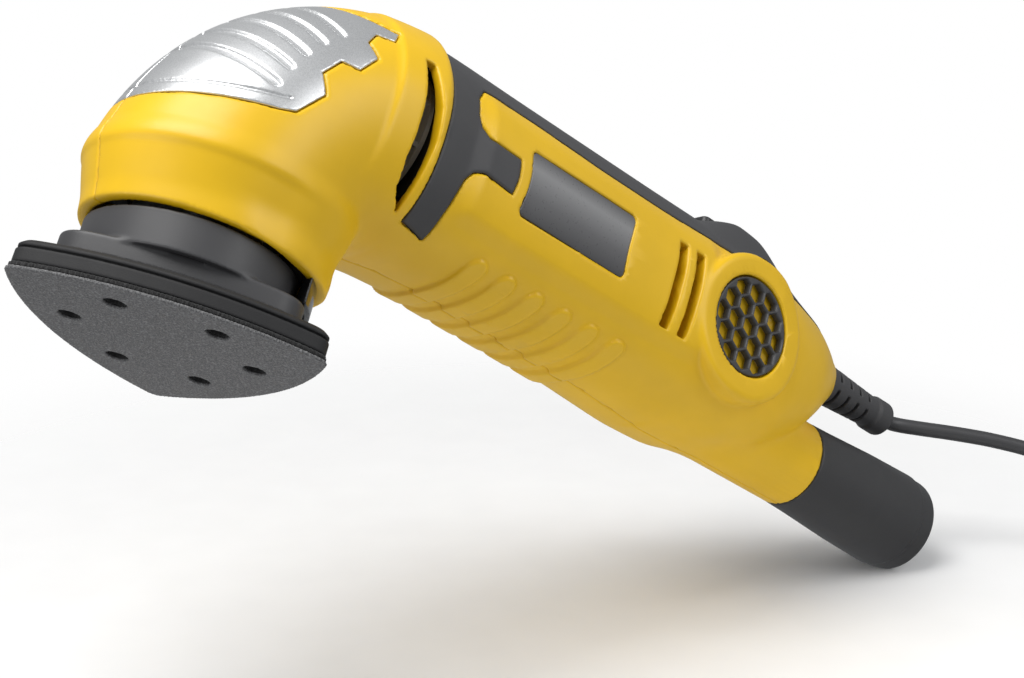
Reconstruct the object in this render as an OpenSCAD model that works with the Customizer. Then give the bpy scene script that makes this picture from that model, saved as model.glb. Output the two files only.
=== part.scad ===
// Orbital delta sander: in-line motor, bevel drive in the head, orbiting triangular pad.
// Origin: centre of the abrasive face. +X runs back along the handle, +Z points up from the pad.

/* [Pad] */
// Side of the delta sheet, tip to tip
sheet_side = 93; // [92:0.5:94]
// Distance from the pad centre to each dust hole
hole_ring = 27.5; // [26:0.5:29]
// Diameter of each dust hole
hole_d = 7.5; // [6:0.5:8]
// Radius of the pad's orbit
orbit_r = 1; // [0.8:0.1:1.2]

/* [Head] */
// Radius of the head's open rim
rim_r = 36.5; // [36:0.5:37]
// Height of the rim above the abrasive face
rim_z = 30.5; // [30:0.5:31]
// Radius of the head where it is widest
drum_r = 39.3; // [39:0.1:40]

/* [Handle] */
// Wall thickness of the plastic shells
wall = 2.5; // [2.2:0.1:2.8]
// Depth of the rubber grip and of the silver cover in the shell
skin = 1.5; // [1.2:0.1:1.6]
// Height of the motor axis above the abrasive face
motor_z = 95; // [94.5:0.5:95.5]

/* [Dust outlet] */
// Outer radius of the outlet tube
tube_r = 16.8; // [16.4:0.1:17.2]
// Height of the outlet axis above the abrasive face
tube_z = 68.2; // [67.8:0.1:68.6]
// Inner radius of the adapter's mouth, for a 32 mm hose end
hose_r = 16; // [15.5:0.1:16.2]

/* [Lead] */
// Diameter of the mains lead
lead_d = 6; // [5.6:0.1:6.4]

/* [Hidden] */
yellow = [0.86, 0.66, 0.05];
charcoal = [0.2, 0.2, 0.21];
silver = [0.72, 0.73, 0.75];
big = 600;
gap = 0.3;
run_clear = 0.03;
cover_skin = skin + 0.1;

// Handle stations: x, half width, centre height, rise above it, drop below it
stations = [
    [38, 38.5, 89, 38, 37], [50, 38.5, 89.5, 39.5, 38], [62, 36.5, 90.5, 39, 37], [85, 35.2, 91, 38.5, 36.5],
    [150, 34.6, 91, 38.5, 38], [185, 35.5, 90, 39.5, 39.5], [205, 35.5, 90, 39, 39], [225, 33.5, 91, 35, 35],
    [245, 28, 93, 28.3, 25], [256, 21.5, 96.5, 20, 15.5], [264, 14.5, 101, 13, 11.5],
    [268, 11.5, 103, 10.9, 10.3]
];
section_n = 28;
low_power = 2.6;

// Spindle drive
spindle_x = -orbit_r;
pinion_teeth = 8;
crown_teeth = 20;
pinion_pitch_r = 5;
pinion_tip_r = 6;
crown_mid_r = pinion_pitch_r * crown_teeth / pinion_teeth;
crown_tip_z = motor_z - 5.2;
mesh_x = spindle_x + crown_mid_r;
shaft_r = 4;

// Pad stack heights
sheet_t = 1;
hook_t = 1.5;
cushion_top = 10;
tier_top = 18;
foot_z = tier_top + 0.8;
collar_top = 28.6;
tip_r = sheet_side / sqrt(3);

// Outlet
outlet_x = 263;
flare_r = 19.4;
collar_x = 322;
collar_r = 18.9;
adapter_end = 331;
bore_depth = 45;
spigot_r = tube_r - wall - 0.08;
duct_r = tube_r - wall - 0.3;

// Screw places in side view: x, z
screw_spots = [[-27, 57], [22, 113.5], [118, 121.5], [166, 77], [230, 109]];
boss_r = 3.6;

// Lead: the free route from the guard to the coil, then the coil
guard_z = 105;
guard_end = 310;
route = [
    [238, 0, 105], [274, 0, 105], [310, 0, 105], [317, -2, 105.5], [325, -8, 106.5], [336, -17, 108],
    [348, -27, 109], [361, -38, 108.5], [374, -48, 105], [386, -57, 97], [396, -64, 85], [405, -70, 69],
    [413, -75, 51], [421, -79, 33], [431, -81, 18], [442, -79, 8], [452, -71, 4], [459, -58, 3],
    [463, -40, 3], [463, -20, 3]
];
coil_at = [421, -20];
coil_outer = 45;
coil_inner = 21;
coil_layers = 3;
plug_at = [coil_at[0] - coil_outer + lead_d / 2, coil_at[1] - 16];

function power(v, n) = sign(v) * pow(abs(v), 2 / n);
function section(s, inset) = [
    for (i = [0:section_n - 1])
        let (a = 360 * i / section_n, up = sin(a) >= 0)
        [s[0], (s[1] - inset) * power(cos(a), up ? 2 : low_power),
         s[2] + ((up ? s[3] : s[4]) - inset) * power(sin(a), up ? 2 : low_power)]
];

// Solid through rings of equal length
module loft(rings) {
    n = len(rings[0]);
    m = len(rings);
    sides = [for (j = [0:m - 2], i = [0:n - 1])
        let (k = (i + 1) % n)
        each [[j * n + i, (j + 1) * n + i, j * n + k], [j * n + k, (j + 1) * n + i, (j + 1) * n + k]]];
    first = [[for (i = [0:n - 1]) i]];
    last = [[for (i = [n - 1:-1:0]) (m - 1) * n + i]];
    polyhedron([for (r = rings) each r], concat(sides, first, last));
}

module handle_form(inset = 0) {
    loft([for (s = stations) section(s, inset)]);
}

module along_x(x, z = motor_z) {
    translate([x, 0, z]) rotate([0, 90, 0]) children();
}

module tube(r, hole, h) {
    difference() {
        cylinder(r = r, h = h, $fn = 64);
        translate([0, 0, -1]) cylinder(r = hole, h = h + 2, $fn = 64);
    }
}

module half(left) {
    translate([-big / 2, left ? -big : 0, -big / 2]) cube([big, big, big]);
}

module side_outline(points) {
    translate([0, big / 2, 0]) rotate([90, 0, 0]) linear_extrude(big) polygon(points);
}

// ---- Head and handle shells

module head_form(inset = 0) {
    hull() {
        translate([0, 0, rim_z]) cylinder(r = rim_r - inset, h = 1, $fn = 36);
        translate([0, 0, 50 - inset]) cylinder(r = drum_r - inset, h = 1, $fn = 36);
        translate([1, 0, 69]) cylinder(r = 35 - inset, h = 1, $fn = 36);
        for (y = [-1, 1])
            translate([24, 19 * y, rim_z - 3]) cylinder(r = 12 - inset, h = 4, $fn = 24);
        translate([12, 0, 84]) sphere(r = 33 - inset, $fn = 32);
        translate([26, 0, 88]) sphere(r = 36 - inset, $fn = 32);
        along_x(40, 89) cylinder(r = 39.5 - inset, h = 1, $fn = 36);
    }
}

module cover_outline(grow = 0) {
    points = [
        [-60, 62.5 - grow], [-37, 62.5 - grow], [1 + grow, 71 - grow], [8 + grow, 78.3], [6 + grow, 82],
        [11 + grow, 89], [17.5 + grow, 90 - grow], [22.5 + grow, 96], [18 + grow, 100],
        [19.5 + grow, 104.5 - grow],
        [27 + grow, 106 - grow], [27 + grow, 160], [-60, 160]
    ];
    side_outline(points);
}

module grip_outline(grow = 0) {
    side_outline([
        [50 - grow, 58 - grow], [58 + grow, 56 - grow], [62 + grow, 81 - grow], [82 + grow, 84 - grow],
        [82 + grow, 96 + grow], [66 + grow, 98 + grow], [62 + grow, 108 + grow], [66, 119.5 - grow],
        [225, 116 - grow], [252 + grow, 111.5 - grow], [252 + grow, 160], [50 - grow, 160]
    ]);
}

module strip_step() {
    along_x(187, 100) cylinder(r = 36.2, h = 40, $fn = 48);
}

module plate_outline(grow = 0) {
    side_outline([
        [88 - grow, 79 - grow], [131 + grow, 79 - grow], [134 + grow, 90], [131 + grow, 101 + grow],
        [88 - grow, 101 + grow], [85 - grow, 90]
    ]);
}

// Both halves together, without their cuts
module shell() {
    difference() {
        union() {
            head_form();
            handle_form();
            along_x(185, tube_z) cylinder(r = tube_r, h = outlet_x - 185, $fn = 64);
        }
        head_form(wall);
        handle_form(wall);
        translate([0, 0, rim_z - 10]) cylinder(r = rim_r - wall, h = 14, $fn = 64);
        along_x(190, tube_z) cylinder(r = tube_r - wall, h = 100, $fn = 64);
    }
}

grille_at = [194, 88.5];
module grille_seat() {
    for (s = [-1, 1])
        translate([grille_at[0], s * 31, grille_at[1]]) rotate([-90 * s, 0, 0])
            cylinder(r = 18, h = 12, $fn = 64);
}

module screw_bosses() {
    for (p = screw_spots)
        translate([p[0], 0, p[1]]) rotate([90, 0, 0]) cylinder(r = boss_r, h = 80, center = true, $fn = 32);
}

module screw_holes() {
    for (p = screw_spots) {
        translate([p[0], 5, p[1]]) rotate([90, 0, 0]) cylinder(r = 1.6, h = 25, $fn = 24);
        translate([p[0], 5, p[1]]) rotate([-90, 0, 0]) cylinder(r = 3, h = 60, $fn = 32);
    }
}

// Wall that holds the rear bearing, above the dust duct
module rear_rib() {
    intersection() {
        handle_form(wall - 0.2);
        translate([149, -50, 72]) cube([4, 100, 68]);
    }
}

// Dust elbow: a chute let into the rear wall of the head, with a wide foot behind the collar
module elbow_form(grow = 0) {
    intersection() {
        side_outline([
            [34.2 - grow, 12 - grow], [36.4 + grow, 12 - grow], [36.4 + grow, 36], [38.4 + grow, 46],
            [45.7 + grow, 56], [45.7 + grow, 69.4 + grow], [38 - grow, 69.4 + grow], [34.2 - grow, 50]
        ]);
        translate([20, -12 - grow, 0]) cube([40, 24 + 2 * grow, 100]);
    }
    translate([33, -19 - grow, 13]) cube([3.4 + grow, 38 + 2 * grow, 20 + grow]);
}

module neck_slots() {
    for (s = [-1, 1])
        translate([40, s > 0 ? 22 : -62, 66]) cube([4.5, 40, 40]);
}

module side_slots() {
    for (s = [-1, 1], x = [155, 165])
        translate([x, s * 34, 88]) rotate([0, 8, 0]) cube([4, 14, 30], center = true);
}

module housing(left) {
    intersection() {
        half(left);
        difference() {
            union() {
                shell();
                intersection() {
                    union() {
                        head_form(1);
                        handle_form(1);
                    }
                    screw_bosses();
                }
                rear_rib();
            }
            difference() {
                cover_outline(gap);
                head_form(cover_skin);
            }
            difference() {
                grip_outline(gap);
                handle_form(skin);
                translate([-200, -100, 0]) cube([250 - gap, 200, 200]);
            }
            grille_seat();
            neck_slots();
            side_slots();
            screw_holes();
            elbow_form(gap);
            along_x(140) cylinder(r = 9, h = 20, $fn = 48);
            along_x(255, guard_z) cylinder(r = 8, h = 40, $fn = 48);
            translate([203, 0, 128]) cube([30.4, 16.4, 40], center = true);
        }
    }
}
module housing_left() { color(yellow) housing(true); }
module housing_right() { color(yellow) housing(false); }

module head_cover(left) {
    color(silver) intersection() {
        half(left);
        difference() {
            intersection() {
                head_form();
                cover_outline();
            }
            head_form(skin);
            rib_grooves();
        }
    }
}
module rib_grooves() {
    for (i = [0:4])
        translate([-12 + 5 * i, 0, 78 + 7 * i]) rotate([0, -36, 0]) cube([60, 66, 1.6], center = true);
}
module head_cover_left() { head_cover(true); }
module head_cover_right() { head_cover(false); }

module grip(left) {
    color(charcoal) intersection() {
        half(left);
        difference() {
            intersection() {
                union() {
                    handle_form();
                    intersection() {
                        strip_step();
                        translate([180, -14, 120]) cube([50, 28, 15]);
                    }
                }
                grip_outline();
            }
            handle_form(skin - 0.02);
            translate([-200, -100, 0]) cube([250, 200, 200]);
            translate([203, 0, 128]) cube([30.4, 16.4, 40], center = true);
        }
    }
}
module grip_left() { grip(true); }
module grip_right() { grip(false); }

module nameplate(left) {
    color([0.35, 0.35, 0.36]) intersection() {
        half(left);
        plate_outline();
        difference() {
            handle_form(-0.4);
            handle_form(-0.02);
        }
    }
}
module nameplate_left() { nameplate(true); }
module nameplate_right() { nameplate(false); }

// Honeycomb disc over the cooling air inlet
module vent_grille(side) {
    pitch = 6.5;
    cell_r = 2.9;
    color(charcoal)
    translate([grille_at[0], side * 33.2, grille_at[1]]) rotate([-90 * side, 0, 0]) difference() {
        cylinder(r = 17.7, h = 2.6, $fn = 64);
        for (row = [-2:2], col = [-3:3])
            let (x = pitch * (col + (row % 2 == 0 ? 0 : 0.5)), y = pitch * 0.866 * row)
            if (norm([x, y]) < 14.5)
                translate([x, y, -1]) rotate([0, 0, 30]) cylinder(r = cell_r, h = 5, $fn = 6);
    }
}
module vent_grille_left() { vent_grille(-1); }
module vent_grille_right() { vent_grille(1); }

module screw(head_r, body_r, length) {
    cylinder(r = body_r, h = length, $fn = 24);
    translate([0, 0, length]) difference() {
        cylinder(r = head_r, h = 2, $fn = 32);
        translate([0, 0, 1]) cube([3.2, 0.9, 3], center = true);
        translate([0, 0, 1]) cube([0.9, 3.2, 3], center = true);
    }
}

module housing_screws() {
    color("dimgray") for (p = screw_spots)
        translate([p[0], -12, p[1]]) rotate([-90, 0, 0]) screw(2.9, 1.58, 17);
}

// ---- Switch and electrics
switch_x = 203;
rocker_z = 130.2;
rocker_tilt = 6;

module switch_frame() {
    color(charcoal) translate([switch_x, 0, 132.9]) difference() {
        cube([30, 16, 3], center = true);
        cube([24.6, 11, 12], center = true);
    }
}
module switch_rocker() {
    color([0.1, 0.1, 0.1]) translate([switch_x, 0, rocker_z]) difference() {
        union() {
            translate([0, 0, 2.6]) rotate([0, rocker_tilt, 0]) cube([22.6, 10.2, 4], center = true);
            rotate([90, 0, 0]) cylinder(r = 2.6, h = 10.2, center = true, $fn = 32);
        }
        rotate([90, 0, 0]) cylinder(r = 1.05, h = 20, center = true, $fn = 32);
    }
}
module switch_body() {
    color([0.15, 0.15, 0.15]) {
        translate([switch_x - 12, -8, 104]) cube([24, 16, 20.5]);
        for (y = [-1, 1])
            translate([switch_x, y * 5.65, rocker_z]) rotate([90, 0, 0])
                cylinder(r = 1, h = 3.3, center = true, $fn = 32);
        for (y = [-1, 1])
            translate([switch_x - 3, y * 6.8 - 0.6, 124]) cube([6, 1.2, 7.2]);
        for (x = [-6, 6])
            translate([switch_x + x - 1, -3, 98]) cube([2, 6, 6.5]);
    }
}
module capacitor() {
    color([0.8, 0.75, 0.4]) translate([174, -9, 108]) cube([10, 18, 13]);
}

module cord_guard() {
    color(charcoal) along_x(244, guard_z) difference() {
        union() {
            cylinder(r = 7.6, h = 24, $fn = 48);
            translate([0, 0, 4]) cylinder(r = 9.4, h = 3, $fn = 48);
            translate([0, 0, 24]) cylinder(r1 = 8.2, r2 = 6.2, h = 34, $fn = 48);
            translate([0, 0, 58]) cylinder(r = 7, h = guard_end - 302, $fn = 48);
        }
        translate([0, 0, -1]) cylinder(r = lead_d / 2, h = 80, $fn = 48);
        for (i = [0:3])
            translate([0, 0, 31.5 + 6.2 * i]) difference() {
                cylinder(r = 12, h = 1.8, $fn = 48);
                cylinder(r = 5, h = 10, center = true, $fn = 48);
                translate([-12, -1.2, -1]) cube([24, 2.4, 4]);
            }
    }
}
module cord_clamp() {
    color("dimgray") translate([240, 0, guard_z - 7]) difference() {
        translate([-4, -10, 0]) cube([8, 20, 3.9]);
        for (y = [-7, 7])
            translate([0, y, -1]) cylinder(r = 1.6, h = 8, $fn = 24);
    }
}
module clamp_screws() {
    color("silver") for (y = [-7, 7])
        translate([240, y, guard_z - 1]) mirror([0, 0, 1]) screw(2.6, 1.55, 6.2);
}

// Ring of points around a route point, square to the route
function unit(v) = v / norm(v);
function ring_at(p, dir, r, n) =
    let (side = unit(cross(dir, [0, 0, 1])), up = cross(side, dir))
    [for (i = [0:n - 1]) p + r * (cos(360 * i / n) * side + sin(360 * i / n) * up)];
module sweep(points, r, n) {
    last = len(points) - 1;
    dirs = [for (i = [0:last])
        i == 0 ? [1, 0, 0] : unit(points[min(i + 1, last)] - points[max(i - 1, 0)])];
    loft([for (i = [0:last]) ring_at(points[i], dirs[i], r, n)]);
}
module power_cord() {
    color(charcoal) sweep(route, lead_d / 2, 10);
}
module cord_coil() {
    color(charcoal) translate([coil_at[0], coil_at[1], 0]) tube(coil_outer, coil_inner, coil_layers * lead_d);
}

plug_z = 10;
module plug_body() {
    color(charcoal) translate([plug_at[0], plug_at[1], plug_z]) rotate([90, 0, 0]) {
        cylinder(r = 4, h = 10, $fn = 32);
        translate([0, 0, 10]) cylinder(r1 = 5, r2 = 8, h = 14, $fn = 48);
        translate([0, 0, 24]) linear_extrude(34) union() {
            square([17, 20], center = true);
            for (x = [-8.5, 8.5])
                translate([x, 0]) circle(r = 10, $fn = 64);
        }
    }
}
module plug_pins() {
    color("silver") for (x = [-9.5, 9.5])
        translate([plug_at[0] + x, plug_at[1] - 58, plug_z]) rotate([90, 0, 0]) {
            cylinder(r = 2.4, h = 17, $fn = 32);
            translate([0, 0, 17]) sphere(r = 2.4, $fn = 32);
        }
}

// ---- Dust path
module stadium(w, h) {
    square([w - h, h], center = true);
    for (x = [-1, 1])
        translate([x * (w - h) / 2, 0]) circle(r = h / 2, $fn = 48);
}
duct_z = 64.5;
module dust_duct() {
    color([0.15, 0.15, 0.15]) {
        along_x(46, duct_z) rotate([0, 0, 90]) linear_extrude(144) difference() {
            stadium(27, 10);
            stadium(24.4, 7.4);
        }
        difference() {
            along_x(188, tube_z) cylinder(r = duct_r, h = 46, $fn = 64);
            along_x(190, tube_z) cylinder(r = duct_r - 1.4, h = 50, $fn = 64);
            along_x(180, duct_z) rotate([0, 0, 90]) linear_extrude(12) stadium(24.4, 7.4);
        }
    }
}
module dust_elbow() {
    color([0.08, 0.08, 0.08]) difference() {
        union() {
            elbow_form();
            for (y = [-19, 19])
                translate([24, y, foot_z]) cylinder(r = 9.2, h = 33 - foot_z, $fn = 48);
        }
        translate([spindle_x, 0, 0]) cylinder(r = 34.4, h = 40, $fn = 64);
        intersection() {
            side_outline([
                [34.9, 11], [35.8, 11], [35.8, 37], [40.5, 57.5], [50, 60], [50, 68], [39, 68], [34.9, 49]
            ]);
            translate([20, -10.5, 0]) cube([40, 21, 100]);
        }
    }
}

module dust_adapter() {
    color(charcoal) difference() {
        union() {
            along_x(outlet_x + gap, tube_z)
                cylinder(r1 = tube_r, r2 = flare_r, h = collar_x - outlet_x - gap, $fn = 64);
            along_x(collar_x, tube_z) cylinder(r = collar_r, h = adapter_end - collar_x, $fn = 64);
            along_x(236, tube_z) cylinder(r = spigot_r, h = 40, $fn = 64);
        }
        along_x(230, tube_z) cylinder(r = 12, h = 60, $fn = 64);
        along_x(adapter_end - bore_depth, tube_z) cylinder(r = hose_r, h = bore_depth + 1, $fn = 64);
    }
}

// ---- Head drive
module gear_housing() {
    color([0.6, 0.61, 0.62]) difference() {
        union() {
            translate([spindle_x, 0, 46]) cylinder(r = 33, h = 3.5, $fn = 64);
            translate([spindle_x, 0, 46]) cylinder(r = 17, h = 33, $fn = 64);
            translate([8, -12, 62]) cube([20, 24, 16]);
            translate([19, -12, 62]) cube([9, 24, 47]);
        }
        translate([spindle_x, 0, 40]) cylinder(r = 13, h = 18, $fn = 64);
        translate([spindle_x, 0, 40]) cylinder(r = 7, h = 60, $fn = 64);
        translate([spindle_x, 0, 70]) cylinder(r = 11, h = 20, $fn = 64);
        along_x(18.5) cylinder(r = 5, h = 12, $fn = 48);
        along_x(21) cylinder(r = 9.5, h = 12, $fn = 64);
        for (a = [45:90:315])
            translate([spindle_x + 29 * cos(a), 29 * sin(a), 40]) cylinder(r = 1.7, h = 12, $fn = 24);
    }
}
module gear_housing_screws() {
    color("silver") for (a = [45:90:315])
        translate([spindle_x + 29 * cos(a), 29 * sin(a), 46]) screw(3, 1.65, 3.5);
}
module crown_gear() {
    color([0.5, 0.5, 0.52]) translate([spindle_x, 0, 0]) {
        difference() {
            union() {
                translate([0, 0, 83]) cylinder(r = 14.5, h = 5.4, $fn = 64);
                translate([0, 0, 80.4]) cylinder(r = 8, h = 4, $fn = 48);
            }
            translate([0, 0, 78]) cylinder(r = shaft_r, h = 20, $fn = 48);
        }
        for (i = [0:crown_teeth - 1])
            rotate([0, 0, 360 * (i + 0.5) / crown_teeth])
                translate([crown_mid_r - 1, -0.55, 88]) cube([2, 1.1, crown_tip_z - 88]);
    }
}
module spindle() {
    color("silver") {
        translate([spindle_x, 0, 34]) cylinder(r = 5, h = 46.3, $fn = 48);
        translate([spindle_x, 0, 80]) cylinder(r = shaft_r, h = 8.2, $fn = 48);
        difference() {
            translate([0, 0, 19]) cylinder(r = shaft_r, h = 15, $fn = 48);
            translate([0, 0, 18]) cylinder(r = 2, h = 12, $fn = 32);
        }
    }
}
module counterweight() {
    color([0.45, 0.45, 0.47]) translate([spindle_x, 0, 36]) difference() {
        union() {
            cylinder(r = 8.5, h = 8, $fn = 48);
            intersection() {
                cylinder(r = 20, h = 8, $fn = 64);
                translate([-40, -40, 0]) cube([40, 80, 10]);
            }
        }
        translate([0, 0, -1]) cylinder(r = 5, h = 12, $fn = 48);
    }
}
// Sealed ball bearing: its seals are set back between the two races
module bearing(journal_r, outer_r, width) {
    race = (outer_r - journal_r) * 0.3;
    difference() {
        tube(outer_r, journal_r + run_clear, width);
        for (z = [-1, width - 0.5])
            translate([0, 0, z]) tube(outer_r - race, journal_r + race, 1.5);
    }
}
module upper_bearing() {
    color("silver") translate([spindle_x, 0, 71]) bearing(5, 11, 7);
}
module lower_bearing() {
    color("silver") translate([spindle_x, 0, 50]) bearing(5, 13, 8);
}
module pad_bearing() {
    color("silver") translate([0, 0, 20]) bearing(shaft_r, 11, 8);
}
module pad_screw() {
    color("dimgray") translate([0, 0, 13.5]) {
        cylinder(r = 5.5, h = 5, $fn = 48);
        translate([0, 0, 5]) cylinder(r = 1.95, h = 10, $fn = 32);
    }
}
// Rubber posts round the counterweight, which check the pad's own spin
damper_ring = 26.5;
module pad_dampers() {
    color([0.12, 0.12, 0.12]) for (a = [60:120:300])
        translate([spindle_x + damper_ring * cos(a), damper_ring * sin(a), 33])
            cylinder(r = 3.2, h = 12.9, $fn = 32);
}

// ---- Pad
// Delta outline: three arcs that bulge between blunt tips
bulge = 10.9;
arc_r = (pow(sheet_side / 2, 2) + pow(bulge, 2)) / (2 * bulge);
arc_off = arc_r - bulge - tip_r / 2;
module delta(inset = 0) {
    intersection_for (a = [0:120:240])
        rotate(a) translate([-arc_off, 0]) circle(r = arc_r - inset, $fn = 96);
}
module dust_holes(z, h) {
    for (a = [60:120:300], s = [-1, 1])
        rotate([0, 0, a + s * 27.7]) translate([hole_ring, 0, z]) cylinder(r = hole_d / 2, h = h, $fn = 32);
}
module pad_layer(z, h, inset) {
    difference() {
        translate([0, 0, z]) linear_extrude(h) delta(inset);
        dust_holes(z - 1, h + 2);
    }
}
module sanding_sheet() { color([0.3, 0.3, 0.3]) pad_layer(0, sheet_t, 0); }
module hook_layer() { color([0.05, 0.05, 0.05]) pad_layer(sheet_t, hook_t, 0.6); }
module pad_cushion() {
    base = sheet_t + hook_t;
    color([0.1, 0.1, 0.1]) {
        pad_layer(base, 5, 0.8);
        pad_layer(base + 5, cushion_top - base - 5, 2.4);
    }
}
module pad_carrier() {
    color(charcoal) difference() {
        union() {
            difference() {
                translate([0, 0, cushion_top]) linear_extrude(tier_top - cushion_top) delta(8.5);
                translate([0, 0, cushion_top + 2]) cylinder(r = 26.5, h = 20, $fn = 64);
            }
            translate([0, 0, tier_top - 0.5]) tube(32.6, 30, collar_top - tier_top + 0.5);
            translate([0, 0, cushion_top]) cylinder(r = 14, h = 18, $fn = 64);
            for (a = [0:60:300])
                rotate([0, 0, a]) translate([12, -1, cushion_top + 1]) cube([19, 2, 12]);
        }
        translate([0, 0, 20]) cylinder(r = 11, h = 20, $fn = 64);
        translate([0, 0, cushion_top - 1]) cylinder(r = 7, h = 20, $fn = 48);
        dust_holes(cushion_top - 1, 4);
    }
}

// ---- Motor
module motor_shaft() {
    color("silver") along_x(9.8) union() {
        cylinder(r = 3, h = 6, $fn = 32);
        translate([0, 0, 5]) cylinder(r = shaft_r, h = 142, $fn = 48);
    }
}
module pinion() {
    color([0.5, 0.5, 0.52]) along_x(10) {
        tube(4.2, 3, 4);
        for (i = [0:pinion_teeth - 1])
            rotate([0, 0, 360 * i / pinion_teeth]) translate([4, -0.5, 0]) cube([2, 1, 4]);
    }
}
module armature_core() {
    color([0.55, 0.55, 0.57]) along_x(66) difference() {
        cylinder(r = 15, h = 42, $fn = 64);
        translate([0, 0, -1]) cylinder(r = shaft_r, h = 50, $fn = 48);
        for (i = [0:11])
            rotate([0, 0, 30 * i]) translate([9, -1.2, -1]) cube([8, 2.4, 50]);
    }
}
module armature_winding() {
    color([0.72, 0.4, 0.2]) along_x(60) difference() {
        union() {
            cylinder(r = 13.5, h = 5.8, $fn = 64);
            translate([0, 0, 48.2]) cylinder(r = 13.5, h = 6, $fn = 64);
            for (i = [0:11])
                rotate([0, 0, 30 * i]) translate([9.3, -1.1, 4]) cube([4.7, 2.2, 47]);
        }
        translate([0, 0, -1]) cylinder(r = 9.2, h = 60, $fn = 48);
    }
}
module commutator() {
    color([0.75, 0.45, 0.25]) along_x(119) difference() {
        union() {
            cylinder(r = 10, h = 12, $fn = 64);
            translate([0, 0, -3]) cylinder(r = 11, h = 3, $fn = 64);
        }
        translate([0, 0, -5]) cylinder(r = shaft_r, h = 30, $fn = 48);
        for (i = [0:15])
            rotate([0, 0, 22.5 * i]) translate([9, -0.3, -4]) cube([4, 0.6, 20]);
    }
}
module fan() {
    color([0.9, 0.88, 0.8]) along_x(42) difference() {
        union() {
            translate([0, 0, 8]) cylinder(r = 25, h = 1.6, $fn = 64);
            cylinder(r = 8, h = 9, $fn = 48);
            for (i = [0:9])
                rotate([0, 0, 36 * i]) translate([7, -0.8, 0]) cube([17.5, 1.6, 9]);
        }
        translate([0, 0, -1]) cylinder(r = shaft_r, h = 12, $fn = 48);
    }
}
module front_bearing() {
    color("silver") along_x(21.2) bearing(shaft_r, 9.5, 6.5);
}
module rear_bearing() {
    color("silver") along_x(148.8) bearing(shaft_r, 9, 6);
}
module stator_core() {
    color([0.5, 0.5, 0.53]) along_x(64) difference() {
        tube(24.5, 15.8, 46);
        for (a = [0, 180])
            rotate([0, 0, a + 90]) translate([14, -10, -1]) cube([4.5, 20, 50]);
    }
}
module stator_coils() {
    color([0.7, 0.38, 0.18]) {
        along_x(57.5) tube(22, 16.5, 6.4);
        along_x(110.1) tube(22, 16.5, 6);
    }
}
module brush_holders() {
    color([0.7, 0.6, 0.3]) for (s = [-1, 1])
        translate([125, s * 20.5, motor_z]) difference() {
            cube([10, 17, 8], center = true);
            cube([6.2, 20, 4.2], center = true);
        }
}
module carbon_brushes() {
    color([0.15, 0.15, 0.16]) for (s = [-1, 1])
        translate([125, s * 15.3, motor_z]) cube([6, 10, 4], center = true);
}
module brush_springs() {
    color("silver") for (s = [-1, 1])
        translate([125, s * 20.7, motor_z]) rotate([-90 * s, 0, 0]) for (i = [0:9])
            translate([0, 0, 0.6 * i]) rotate_extrude($fn = 32)
                translate([1.4, 0]) circle(r = 0.35, $fn = 16);
}
module air_baffle() {
    color([0.15, 0.15, 0.15]) along_x(53) difference() {
        tube(29, 15, 2);
        translate([23, -20, -1]) cube([20, 40, 10]);
    }
}

housing_left();
housing_right();
head_cover_left();
head_cover_right();
grip_left();
grip_right();
nameplate_left();
nameplate_right();
vent_grille_left();
vent_grille_right();
housing_screws();
switch_frame();
switch_rocker();
switch_body();
capacitor();
cord_guard();
cord_clamp();
clamp_screws();
power_cord();
cord_coil();
plug_body();
plug_pins();
dust_duct();
dust_elbow();
dust_adapter();
gear_housing();
gear_housing_screws();
crown_gear();
spindle();
counterweight();
upper_bearing();
lower_bearing();
pad_bearing();
pad_screw();
pad_dampers();
pad_carrier();
pad_cushion();
hook_layer();
sanding_sheet();
motor_shaft();
pinion();
armature_core();
armature_winding();
commutator();
fan();
front_bearing();
rear_bearing();
stator_core();
stator_coils();
brush_holders();
carbon_brushes();
brush_springs();
air_baffle();
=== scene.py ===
"""Orbital delta sander: the visual model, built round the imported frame. Shapes are worked out in
millimetres as signed distances, meshed on a grid and moved onto the exact surface."""
import math

import bpy
import numpy as np
import openvdb
from mathutils import Matrix, Vector


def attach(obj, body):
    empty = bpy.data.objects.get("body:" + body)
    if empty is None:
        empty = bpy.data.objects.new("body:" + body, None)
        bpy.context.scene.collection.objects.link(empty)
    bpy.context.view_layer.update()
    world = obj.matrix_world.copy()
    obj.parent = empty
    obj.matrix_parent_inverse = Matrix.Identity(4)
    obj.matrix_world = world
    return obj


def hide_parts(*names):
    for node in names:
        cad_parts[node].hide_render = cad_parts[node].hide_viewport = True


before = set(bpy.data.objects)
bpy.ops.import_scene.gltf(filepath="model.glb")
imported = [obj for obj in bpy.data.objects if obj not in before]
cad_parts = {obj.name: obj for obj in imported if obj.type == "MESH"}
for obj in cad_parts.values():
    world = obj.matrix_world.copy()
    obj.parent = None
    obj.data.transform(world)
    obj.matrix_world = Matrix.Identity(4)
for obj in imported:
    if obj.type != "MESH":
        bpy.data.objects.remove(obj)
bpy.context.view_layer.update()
bpy.context.scene.view_settings.view_transform = "Standard"
MM = 0.001
# Grid steps for the housing and for the small pieces, in millimetres
VOXEL = 0.9
FINE = 0.45
MOST_TRIANGLES = 190000


# ---------------------------------------------------------------- camera, in millimetres
CAMERA_AT = (-257.4, -496.5, -175.7)
CAMERA_RIGHT = (0.7154, -0.6577, 0.2358)
CAMERA_DOWN = (0.4045, 0.1147, -0.9073)
CAMERA_AHEAD = (0.5697, 0.7445, 0.3481)
LENS = 70.31
SENSOR = 36.0


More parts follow.
